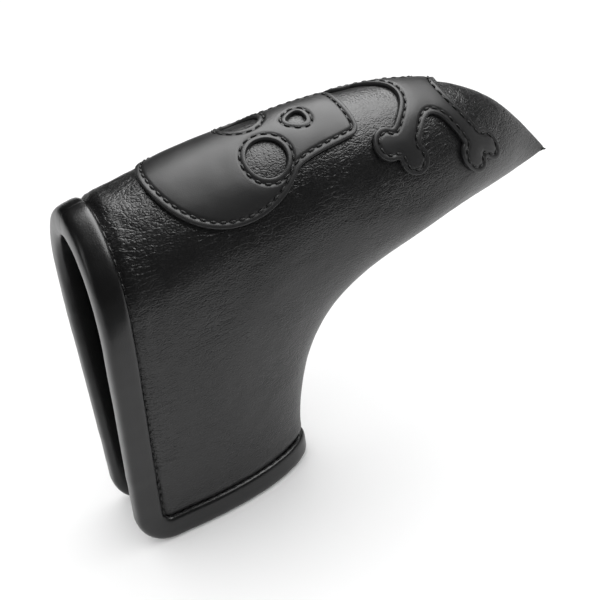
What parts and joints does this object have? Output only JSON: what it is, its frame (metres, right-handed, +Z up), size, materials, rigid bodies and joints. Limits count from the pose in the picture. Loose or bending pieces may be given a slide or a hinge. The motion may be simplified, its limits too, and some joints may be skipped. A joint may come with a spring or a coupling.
{
  "type": "putter head cover",
  "caption": "Padded black leather boot that slips over a blade putter head, with soft magnetic flaps at the heel slit, a plush lining and a sewn-on skull and crossbones.",
  "frame": {"origin": "centre of the bounding box's underside, on the floor under the hem", "axes": "+X from the mouth at the heel towards the toe, +Y to the back panel, +Z up"},
  "size_m": [0.1746, 0.0524, 0.122],
  "materials": {
    "body_leather": "glossy pebbled black artificial leather",
    "binding_leather": "smooth semi-gloss black leather strip",
    "smooth_leather": "smooth satin black leather",
    "foam": "soft matte padding foam",
    "plush": "short black plush pile",
    "pocket_cloth": "black woven cloth",
    "magnet_steel": "bright nickel plating",
    "thread": "twisted black polyester thread"
  },
  "bodies": {
    "crown": {"leather_shell": "body_leather", "foam_front_panel": "foam", "foam_back_panel": "foam", "plush_lining": "plush", "mouth_binding": "binding_leather", "hem_binding": "binding_leather", "seam_tape": "pocket_cloth", "skull_applique": "smooth_leather", "crossbones_applique": "smooth_leather", "skull_stitching": "thread", "crossbones_stitching": "thread", "crown_stitching": "thread"},
    "front_flap": {"front_flap_leather": "body_leather", "front_flap_foam": "foam", "front_flap_lining": "plush", "front_flap_binding": "binding_leather", "front_flap_magnet": "magnet_steel", "front_flap_magnet_pocket": "pocket_cloth", "front_flap_stitching": "thread"},
    "back_flap": {"back_flap_leather": "body_leather", "back_flap_foam": "foam", "back_flap_lining": "plush", "back_flap_binding": "binding_leather", "back_flap_magnet": "magnet_steel", "back_flap_magnet_pocket": "pocket_cloth", "back_flap_stitching": "thread"}
  },
  "joints": [
    {"name": "front_flap_bend", "type": "hinge", "parent": "crown", "child": "front_flap", "pos_m": [-0.05863, -0.02051, 0.04128], "axis": [-0.493, -0.1377, 0.8591], "range_deg": [-11, 42], "stiffness_Nm_per_rad": 0.2},
    {"name": "back_flap_bend", "type": "hinge", "parent": "crown", "child": "back_flap", "pos_m": [-0.05863, 0.02051, 0.04128], "axis": [0.493, -0.1377, -0.8591], "range_deg": [-11, 42], "stiffness_Nm_per_rad": 0.2}
  ]
}
